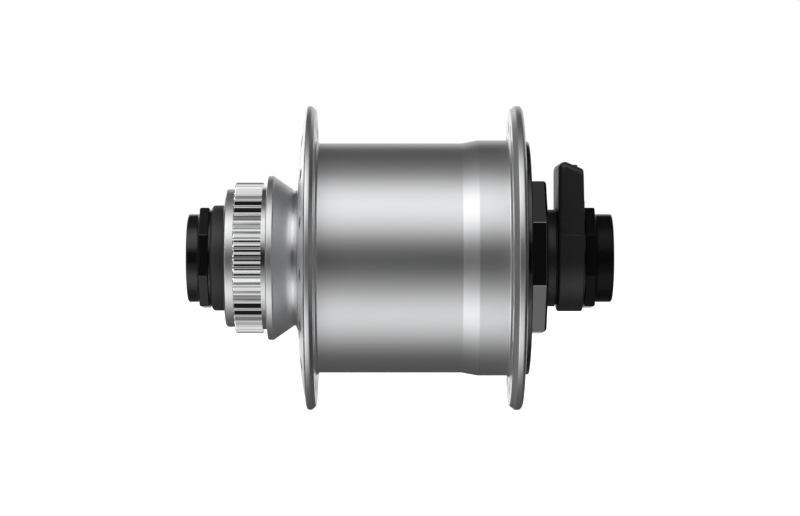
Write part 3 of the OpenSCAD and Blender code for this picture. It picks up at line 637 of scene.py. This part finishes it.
class HUB_OT_left_hub_end(bpy.types.Operator):
    """Splined boss, stop flange, neck and spoke flange on the rotor side"""

    bl_idname = "hub.left_hub_end"
    bl_label = "Left hub end"

    def execute(self, context):
        sizes = context.scene.hub_sizes
        flange_r, low, high = reach("left_hub_end")
        boss, spigot_end = -low, -high
        face = -reach("hub_barrel")[1]
        cup_r, cup_seat, _ = reach("left_cup")
        cup_r, cup_floor = cup_r + CUP_FIT, -cup_seat - 3.9
        lockring_r, collar_r, runout_r = cup_r + 0.2, cup_r + 1.5, cup_r + 2.1
        stop_r, neck_r, root_r, tip_r = collar_r + 3.1, collar_r - 0.4, collar_r + 0.74, collar_r + 1.55
        thread_end, spline_out, spline_in = boss - 4.8, boss - 2.25, boss - 8.7
        stop_out, stop_in = boss - 9.9, boss - 11.6
        neck, root = stop_in - 4.2, stop_in - 5.7
        rim_r, root_face = flange_r - 1.2, neck_r + 1.9

        def outer_face(r):
            s = np.clip((r - root_face) / (rim_r - root_face), 0, 1)
            return face + 2.25 + 1.7 * (1 - s**2.3)

        def inner_face(r):
            return face + 0 * r

        bore = [
            (lockring_r + 0.4, boss), (lockring_r, boss - 0.4), (lockring_r, thread_end), (cup_r, thread_end),
            (cup_r, cup_floor), (LIP_R, cup_floor), (LIP_R, face + 0.75), (SPIGOT_IN, face + 0.75),
            (SPIGOT_IN, spigot_end), (SPIGOT_R, spigot_end), (SPIGOT_R, face),
        ]
        rim = [(flange_r - 1, face), (flange_r, face + 0.95), (flange_r, face + 2.0), (rim_r, face + 2.35)]
        inner_r, outer_r = HOLED_BAND
        falling = [(r, float(outer_face(r))) for r in (outer_r, inner_r, 28, 25, 22, 20)]
        neck_line = [
            (root_face, root), (neck_r + 1.7, root + 0.04), (neck_r + 1.55, root + 0.3),
            (neck_r + 0.95, root + 0.6), (neck_r + 0.15, root + 1.0), (neck_r, root + 1.2),
            (neck_r + 0.3, neck),
        ]
        corners = [
            *bore, (inner_r, face), (outer_r, face), *rim, *falling, *neck_line,
            (stop_r - 0.3, stop_in), (stop_r, stop_in + 0.3), (stop_r, stop_out - 0.2),
            (stop_r - 0.2, stop_out), (runout_r, stop_out), (runout_r, spline_in), (collar_r, spline_in),
            (collar_r, boss - 0.4), (collar_r - 0.4, boss),
        ]
        edge = np.full(len(corners), sizes.edge_round)
        marks = [i for i, (r, z) in enumerate(corners) if r in HOLED_BAND]
        edge[marks] = 0
        edge[marks[2] - 3 : marks[2]] = 0.6
        edge[marks[3] + 1 : marks[3] + 5] = 0.8
        shells = flanged_body(
            corners, edge, marks, outer_face, inner_face, sizes.spoke_hole_radius, FLANGE_TURN
        )
        make_piece("left_hub_end_turned", [mirrored(s) for s in shells], ["left_hub_end"])
        teeth = toothed_ring(
            root_r, tip_r, collar_r - 0.5, spline_in - 0.05, spline_out, sizes.spline_teeth
        )
        make_piece("left_hub_end_splines", [mirrored(teeth)], ["left_hub_end"], finish("bright_teeth"))

        # Thin skins over the body, where its finish is another: smoother turned grooves, and on the collar
        # and the stop flange's rim a lighter copy of the aluminium that paints a highlight
        sleeve = rounded(
            [(r + 0.03, z) for r, z in neck_line] + [(neck_r - 0.4, neck), (neck_r - 0.4, root)],
            sizes.edge_round,
        )
        runout = rounded(
            [
                (collar_r, spline_in - 0.02), (collar_r, stop_out + 0.02),
                (runout_r + 0.02, stop_out + 0.02), (runout_r + 0.02, spline_in - 0.02),
            ],
            0.05,
        )
        stop = rounded(
            [
                (stop_r - 0.5, stop_in + 0.32), (stop_r + 0.015, stop_in + 0.32),
                (stop_r + 0.015, stop_out - 0.2), (stop_r - 0.2, stop_out + 0.01),
                (stop_r - 0.5, stop_out + 0.01),
            ],
            [0.01, 0.02, 0.12, 0.12, 0.01],
        )
        collar = rounded(
            [
                (collar_r - 0.4, spline_out - 0.1), (collar_r + 0.02, spline_out - 0.1),
                (collar_r + 0.02, boss - 0.4), (collar_r - 0.35, boss - 0.02), (collar_r - 0.4, boss - 0.3),
            ],
            [0.01, 0.01, 0.16, 0.16, 0.01],
        )
        for part, look_name, skins in (
            ("grooves", "bright_groove", (sleeve, runout)), ("collar", "collar_painted_highlight", (collar, stop))
        ):
            shells = [mirrored(turned(skin)) for skin in skins]
            make_piece(f"left_hub_end_{part}", shells, ["left_hub_end"], finish(look_name))
        return {"FINISHED"}


class HUB_OT_barrel(bpy.types.Operator):
    """Barrel, wider band and spoke flange on the connector side"""

    bl_idname = "hub.barrel"
    bl_label = "Barrel"

    def execute(self, context):
        sizes = context.scene.hub_sizes
        flange_r, start, seat = reach("hub_barrel")
        rim, face = seat - 0.5, seat - 3.55
        bore, barrel_r, band_r = SPIGOT_R + 0.02, 27.1, 27.8
        seam = barrel_r + 0.5
        band_start, cone_start = face - 7.5, face - 11.3
        disc_r = reach("right_cover")[0]

        def outer_face(r):
            return seat + (rim - seat) * np.clip((r - disc_r - 0.3) / (flange_r - disc_r - 1.0), 0, 1)

        def inner_face(r):
            return face + 0 * r

        inner_r, outer_r = HOLED_BAND
        corners = [
            (bore, start), (seam, start), (seam, start + 0.22), (barrel_r, start + 0.75),
            (barrel_r, cone_start), (band_r, band_start), (band_r, face - 0.45), (band_r + 0.45, face),
            (inner_r, face), (outer_r, face), (flange_r - 1, face), (flange_r, face + 1.3),
            (flange_r, rim - 0.6), (flange_r - 0.75, rim - 0.02),
            (outer_r, float(outer_face(outer_r))), (inner_r, float(outer_face(inner_r))),
            (disc_r + 0.3, seat), (bore, seat),
        ]
        edge = np.full(len(corners), sizes.edge_round)
        marks = [i for i, (r, z) in enumerate(corners) if r in HOLED_BAND]
        edge[marks] = 0
        edge[4:6] = 0.1
        edge[6:8] = 0.25
        edge[marks[2] - 2 : marks[2]] = 0.6
        between_holes = FLANGE_TURN + 180 / SPOKE_HOLES
        shells = flanged_body(
            corners, edge, marks, outer_face, inner_face, sizes.spoke_hole_radius, between_holes
        )
        make_piece("hub_barrel_turned", shells, ["hub_barrel"])
        return {"FINISHED"}


class HUB_OT_cover(bpy.types.Operator):
    """Dark disc, eight-sided plate and spigot of the connector side cover"""

    bl_idname = "hub.cover"
    bl_label = "Connector side cover"

    def execute(self, context):
        sizes = context.scene.hub_sizes
        disc_r, inside, plate = reach("right_cover")
        seat = reach("hub_barrel")[2]
        cup_r, cup_floor, _ = reach("right_cup")
        cup_r, disc = cup_r + CUP_FIT, seat + 1.05
        housing, housing_end, web = cup_r + 2.9, cup_floor - 1.5, seat - 2.8
        body = rounded(
            [
                (LIP_R, housing_end), (housing - 0.3, housing_end), (housing - 0.3, web),
                (SPIGOT_IN, web), (SPIGOT_IN, inside), (SPIGOT_R, inside), (SPIGOT_R, seat), (disc_r, seat),
                (disc_r, disc), (cup_r + 0.1, disc), (cup_r + 0.1, cup_floor), (LIP_R, cup_floor),
            ],
            [0.1, 0.1, 0.1, 0.1, 0.1, 0.3, 0.05, 0.15, 0.4, 0.05, 0.05, 0.1],
        )
        plate_profile = rounded(
            [
                (cup_r, disc - 0.4, 0), (housing, disc - 0.4, 1), (housing, plate - 0.5, 1),
                (housing - 0.5, plate, 1), (cup_r + 0.4, plate, 0), (cup_r, plate - 0.4, 0),
            ],
            [0.05, 0.05, 0.12, 0.12, 0.12, 0.12],
        )
        make_piece("right_cover_turned", [turned(body)], ["right_cover"], finish("gloss_black"))
        shell = eight_sided(plate_profile, sizes.octagon_turn, sizes.nut_corner_round)
        make_piece("right_cover_plate", [shell], ["right_cover"])
        return {"FINISHED"}


class HUB_OT_caps_and_nuts(bpy.types.Operator):
    """End caps, locknuts and washers at both ends of the axle"""

    bl_idname = "hub.caps_and_nuts"
    bl_label = "Caps and nuts"

    def execute(self, context):
        sizes = context.scene.hub_sizes
        for side in ("left", "right"):
            flare_r, low, high = reach_from_middle(side, f"{side}_end_cap")
            cap_r, mouth_r = flare_r - 0.65, 6.05
            cap = rounded(
                [
                    (SEAT_R, low), (flare_r, low), (flare_r, low + 0.1), (cap_r, low + 0.32),
                    (cap_r, high - 0.3), (cap_r - 0.3, high), (mouth_r + 0.35, high),
                    (mouth_r, high - 0.35), (mouth_r, high - 1.5), (SEAT_R, high - 1.5),
                ],
                sizes.edge_round,
            )
            black = finish("black_anodised" if side == "left" else "deep_black")
            shell = on_side(side, turned(cap))
            make_piece(f"{side}_end_cap_turned", [shell], [f"{side}_end_cap"], black)
            across, low, high = reach_from_middle(side, f"{side}_locknut")
            flat = across * math.cos(math.pi / 8) / math.cos(math.radians(sizes.octagon_turn))
            nut = rounded(
                [
                    (SEAT_R, low, 0), (flat - 0.15, low, 1), (flat, low + 0.15, 1), (flat, high - 0.25, 1),
                    (flat - 0.25, high, 1), (SEAT_R, high, 0),
                ],
                [0.05, 0.1, 0.1, 0.12, 0.12, 0.05],
            )
            shell = on_side(side, eight_sided(nut, sizes.octagon_turn, sizes.nut_corner_round))
            make_piece(f"{side}_locknut_milled", [shell], [f"{side}_locknut"], black)
            shell = on_side(side, seated_ring(*reach_from_middle(side, f"{side}_washer"), 0.08))
            make_piece(f"{side}_washer_pressed", [shell], [f"{side}_washer"])
        return {"FINISHED"}


class HUB_OT_covers_and_seals(bpy.types.Operator):
    """Dust covers, seals and gasket"""

    bl_idname = "hub.covers_and_seals"
    bl_label = "Covers and seals"

    def execute(self, context):
        r, low, high = reach_from_middle("left", "left_dust_cover")
        groove = high - 0.12
        cover = rounded(
            [
                (SEAT_R, low), (r, low), (r, high - 0.5), (r - 0.5, high), (r - 0.9, high),
                (r - 1.0, groove), (9.7, groove), (9.6, high), (SEAT_R, high),
            ],
            [0.05, 0.1, 0.2, 0.2, 0.05, 0.05, 0.05, 0.05, 0.05],
        )
        matt = finish("matt_black")
        make_piece("left_dust_cover_moulded", [mirrored(turned(cover))], ["left_dust_cover"], matt)
        for node, radius in (("right_dust_cover", 0.15), ("connector_gasket", 0.12)):
            make_piece(f"{node}_moulded", [seated_ring(*reach(node), radius)], [node])
        for side, bore in (("left", 12.51), ("right", 11.52)):
            r, low, high = reach_from_middle(side, f"{side}_seal")
            seal = rounded(
                [
                    (bore, low), (r, low), (r, high), (r - 0.3, high), (r - 0.5, high - 0.3),
                    (bore + 0.75, high - 0.3), (bore + 0.4, high - 0.05), (bore + 0.15, high - 0.05),
                    (bore, high - 0.4),
                ],
                0.1,
            )
            make_piece(f"{side}_seal_moulded", [on_side(side, turned(seal))], [f"{side}_seal"])
        return {"FINISHED"}


class HUB_OT_connector(bpy.types.Operator):
    """Connector base on the axle, and the cap that pulls off it"""

    bl_idname = "hub.connector"
    bl_label = "Connector"

    def execute(self, context):
        ring_r, low, high = reach("connector_base")
        head_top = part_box("connector_base")[1].z / MM
        half, back = ring_r - 0.02, low + 1.7
        core, core_top, tongue_top = half - 1.8, ring_r + 0.2, head_top - 3.2
        foot, corner, edge, end_round = 5.85, 1.6, 0.7, 0.012
        ring = rounded(
            [
                (SEAT_R, low), (ring_r, low), (ring_r, high), (10.2, high), (10.0, high - 0.15),
                (SEAT_R, high - 0.15),
            ],
            [0.05, edge, 0.5, 0.1, 0.1, 0.05],
        )

        # The rear edge of the back plate is rounded more towards the top
        outline = head_outline(half, head_top, corner, 0.4, SADDLE_R)
        plate, plate_faces = soft_prism(lambda z: outline, low, back + 0.07, edge, end_round, 0)
        wide = edge + 0.8 * np.clip((outline[:, 1] - 9) / 5, 0, 1)
        for step, s in enumerate(np.linspace(0, math.pi / 2, ROUND_STEPS + 1)):
            row = slice(step * len(outline), (step + 1) * len(outline))
            plate[row, :2] = shrunk(outline, (wide * (1 - math.sin(s)))[:, None])
            plate[row, 2] = low + wide * (1 - math.cos(s))

        def core_outline(z):
            return head_outline(core, core_top, 0.4, 3.0, SADDLE_R)

        def tongue_outline(z):
            return box_outline(2.2 - core, core - 2.2, core_top - 0.3, tongue_top, 0.25)

        shells = [
            turned(ring),
            (plate, plate_faces),
            soft_prism(core_outline, back - 0.2, high - 0.1, 0.05, 0.25),
            soft_prism(tongue_outline, back + 1.7, back + 2.9, 0.2, 0.2),
        ]
        for x0, x1 in ((core - 0.4, half + 0.015), (-half - 0.015, 0.4 - core)):

            def shoulder_outline(z):
                top = foot - 0.06 - FOOT_SLOPE * max(z - back, 0)
                return box_outline(x0, x1, 0.4, top, 0.3)

            shells.append(soft_prism(shoulder_outline, low, high, edge, 0.5))
        make_piece("connector_base_moulded", shells, ["connector_base"])
        self.make_cap(back, high, head_top, half, corner, core + 0.1, core_top + 0.1, foot)
        return {"FINISHED"}

    def make_cap(self, back, high, head_top, half, corner, inside, ceiling, foot_height):
        """The cap is a saddle over the core: at each place z its outline has two legs and a top that
        falls away in a straight slope from the back plate. Above the nut its outer face leans in, by
        lean times the share of the height and of the width."""
        low, out, lean = back + 0.08, high + 0.05, 0.4
        top_fall, side_recess, leg_r = 1.7, 0.2, 0.12

        def outline_at(z):
            share = (z - low) / (out - low)
            top = head_top - top_fall * share
            foot = foot_height - FOOT_SLOPE * (z - low)
            side = half - side_recess * share
            return np.concatenate(
                [
                    arc(side - leg_r, foot + leg_r, leg_r, -90, 0, 3),
                    arc(side - corner, top - corner, corner, 0, 90),
                    arc(corner - side, top - corner, corner, 90, 180),
                    arc(leg_r - side, foot + leg_r, leg_r, 180, 270, 3),
                    [(-inside, foot), (-inside, ceiling), (inside, ceiling), (inside, foot)],
                ]
            )

        def rib_outline(z):
            return box_outline(half / 2, half / 2 + 2.5, head_top - 3, head_top - 0.1, 0.3)

        points, faces = soft_prism(outline_at, low, out, 0.012, 0.4, 4)
        up = np.clip((points[:, 1] - 12) / 10, 0, 1)
        outwards = np.clip((points[:, 2] - low) / (out - low), 0, 1)
        points[:, 2] -= lean * (up * outwards)
        rib = soft_prism(rib_outline, high - 2.2, high - 0.6, 0.15, 0.3)
        make_piece("connector_cap_moulded", [(points, faces), rib], ["connector_cap"])


class HUB_OT_paint_nodes(bpy.types.Operator):
    """Gives every CAD node that still shows the finish of its slot"""

    bl_idname = "hub.paint_nodes"
    bl_label = "Paint the CAD nodes"

    def execute(self, context):
        for name, node in frame["nodes"].items():
            material = finish(SLOT_OF[name])
            if not node.material_slots:
                node.data.materials.append(material)
            for place in node.material_slots:
                place.material = material
        return {"FINISHED"}


# The studio's brightness round the axle, by the share of the half turn from the camera's side, at 0,
# over the top or under the bottom to the back, at 1: black behind the camera, a broad softbox, a gap,
# and white behind the hub
LIGHT_ABOVE = [
    (0.0, 0.01), (0.082, 0.015), (0.09, 0.22), (0.14, 0.3), (0.15, 0.7), (0.22, 0.8), (0.23, 0.95),
    (0.37, 1.02), (0.38, 0.75), (0.45, 0.6), (0.46, 0.28), (0.49, 0.24), (0.5, 0.13), (0.6, 0.1),
    (0.62, 0.065), (0.81, 0.055), (0.82, 0.52), (1.0, 1.0),
]
LIGHT_BELOW = [
    (0.0, 0.01), (0.075, 0.015), (0.09, 0.18), (0.16, 0.24), (0.17, 0.41), (0.225, 0.48), (0.235, 0.77),
    (0.37, 0.88), (0.38, 0.71), (0.44, 0.65), (0.45, 0.5), (0.51, 0.42), (0.52, 0.2), (0.6, 0.17),
    (0.62, 0.09), (0.96, 0.08), (0.97, 0.8), (1.0, 1.0),
]
# What is kept of it, and what is added, from the connector's side, at 0, to the rotor's side, at 1
LIGHT_KEPT = [
    (0.0, 0.0), (0.13, 0.0), (0.17, 0.6), (0.25, 1.0), (0.6, 1.0), (0.64, 1.6), (0.75, 2.0), (0.82, 0.6),
    (0.87, 0.0), (1.0, 0.0),
]
LIGHT_ADDED = [
    (0.0, 0.085), (0.1, 0.085), (0.14, 0.13), (0.22, 0.1), (0.27, 0.0), (0.74, 0.0), (0.79, 0.4),
    (0.87, 0.4), (0.92, 0.1), (1.0, 0.06),
]
# How much of the added light is left, by the same share of the half turn
LIGHT_FRONT = [(0.0, 1.0), (0.46, 1.0), (0.56, 0.15), (1.0, 0.15)]
LIGHT_TOP = 2.0
FLOOR_HALF = 4.0
FLOOR_LIFT = 0.86


class HUB_OT_studio(bpy.types.Operator):
    """Camera, pale floor and soft studio light"""

    bl_idname = "hub.studio"
    bl_label = "Studio"

    def execute(self, context):
        studio = context.scene.hub_studio
        lens = bpy.data.cameras.new("Camera")
        lens.lens = studio.camera_lens
        camera = bpy.data.objects.new("Camera", lens)
        camera.location = (-studio.camera_distance, 0, 0)
        camera.rotation_euler = (math.pi / 2, 0, -math.pi / 2)
        context.scene.collection.objects.link(camera)
        context.scene.camera = camera
        self.make_world(context.scene, studio)
        self.make_floor(context.scene, studio)
        context.scene.view_settings.view_transform = "Standard"
        return {"FINISHED"}

    def ramp(self, tree, factor, stops):
        """A ramp of values up to LIGHT_TOP over the factor."""
        ramp = add(tree, "ShaderNodeValToRGB", {"Fac": factor})
        elements = ramp.color_ramp.elements
        while len(elements) < len(stops):
            elements.new(1.0)
        for element, (place, value) in zip(elements, stops):
            element.position = place
            element.color = (value / LIGHT_TOP,) * 3 + (1,)
        return compute(tree, "MULTIPLY", ramp.outputs["Color"], LIGHT_TOP)

    def make_world(self, scene, studio):
        """The world's brightness follows the angle round the axle, atan2(z, -x), and how far the
        direction leans to one or the other end of the axle, y. The camera sees it plain white."""
        world = bpy.data.worlds.new("Studio")
        scene.world = world
        world.use_nodes = True
        tree = world.node_tree
        tree.nodes.clear()
        direction = add(
            tree, "ShaderNodeSeparateXYZ", {"Vector": add(tree, "ShaderNodeTexCoord").outputs["Generated"]}
        )
        x, y, z = (direction.outputs[k] for k in "XYZ")
        angle = compute(tree, "ARCTAN2", z, compute(tree, "MULTIPLY", x, -1.0))
        share = compute(tree, "DIVIDE", compute(tree, "ABSOLUTE", angle), math.pi)
        above = self.ramp(tree, share, LIGHT_ABOVE)
        below = self.ramp(tree, share, LIGHT_BELOW)
        is_above = compute(tree, "GREATER_THAN", z, 0.0)
        ring = add(tree, "ShaderNodeMix", {0: is_above, 2: below, 3: above}).outputs[0]
        aside = compute(tree, "MULTIPLY_ADD", y, 0.5, 0.5)
        kept = self.ramp(tree, aside, LIGHT_KEPT)
        added = self.ramp(tree, aside, LIGHT_ADDED)
        added = compute(tree, "MULTIPLY", added, self.ramp(tree, share, LIGHT_FRONT))
        light = compute(tree, "MULTIPLY_ADD", ring, kept, added)
        lit = add(tree, "ShaderNodeBackground", {"Color": (1, 1, 1, 1), "Strength": light})
        plain = add(tree, "ShaderNodeBackground", {"Color": (*studio.backdrop, 1)})
        seen = add(tree, "ShaderNodeLightPath").outputs["Is Camera Ray"]
        mixed = add(tree, "ShaderNodeMixShader", {0: seen, 1: lit.outputs[0], 2: plain.outputs[0]})
        output = add(tree, "ShaderNodeOutputWorld")
        tree.links.new(mixed.outputs[0], output.inputs["Surface"])

    def make_floor(self, scene, studio):
        """A pale floor under the flanges. The camera sees it white with the object's faint shadow,
        and reflections pass through it to the world."""
        half, height = FLOOR_HALF, CAD_BOX[0][2]
        corners = [(-half, -half, height), (half, -half, height), (half, half, height), (-half, half, height)]
        mesh = bpy.data.meshes.new("Floor")
        mesh.from_pydata(corners, [], [(0, 1, 2, 3)])
        floor = bpy.data.objects.new("Floor", mesh)
        scene.collection.objects.link(floor)
        material = bpy.data.materials.new("Pale floor")
        material.use_nodes = True
        tree = material.node_tree
        tree.nodes.clear()
        ray = add(tree, "ShaderNodeLightPath").outputs
        colour = (*studio.backdrop, 1)
        seen = compute(tree, "MULTIPLY", ray["Is Camera Ray"], FLOOR_LIFT)
        matt = add(tree, "ShaderNodeBsdfDiffuse", {"Color": colour})
        lift = add(tree, "ShaderNodeEmission", {"Color": colour, "Strength": seen})
        both = add(tree, "ShaderNodeAddShader", {0: matt.outputs[0], 1: lift.outputs[0]})
        clear = add(tree, "ShaderNodeBsdfTransparent")
        mixed = add(
            tree, "ShaderNodeMixShader",
            {0: ray["Is Glossy Ray"], 1: both.outputs[0], 2: clear.outputs[0]},
        )
        output = add(tree, "ShaderNodeOutputMaterial")
        tree.links.new(mixed.outputs[0], output.inputs["Surface"])
        mesh.materials.append(material)


class HUB_PT_panel(bpy.types.Panel):
    """Lists the pieces in the sidebar"""

    bl_idname = "HUB_PT_panel"
    bl_label = "Hub Dynamo"
    bl_space_type = "VIEW_3D"
    bl_region_type = "UI"
    bl_category = "Hub Dynamo"

    def draw(self, context):
        for group in (context.scene.hub_sizes, context.scene.hub_studio):
            for name in group.bl_rna.properties.keys():
                if name not in ("rna_type", "name"):
                    self.layout.prop(group, name)
        for operator in OPERATORS:
            self.layout.operator(operator.bl_idname)


OPERATORS = (
    HUB_OT_studio,
    HUB_OT_left_hub_end,
    HUB_OT_barrel,
    HUB_OT_cover,
    HUB_OT_caps_and_nuts,
    HUB_OT_covers_and_seals,
    HUB_OT_connector,
    HUB_OT_paint_nodes,
)
CLASSES = (HubSizes, HubStudio, *OPERATORS, HUB_PT_panel)


def register():
    for cls in CLASSES:
        bpy.utils.register_class(cls)
    bpy.types.Scene.hub_sizes = bpy.props.PointerProperty(type=HubSizes)
    bpy.types.Scene.hub_studio = bpy.props.PointerProperty(type=HubStudio)


def unregister():
    del bpy.types.Scene.hub_studio
    del bpy.types.Scene.hub_sizes
    for cls in reversed(CLASSES):
        bpy.utils.unregister_class(cls)


def main():
    register()
    for operator in OPERATORS:
        area, call = operator.bl_idname.split(".")
        getattr(getattr(bpy.ops, area), call)()


if __name__ == "__main__":
    main()
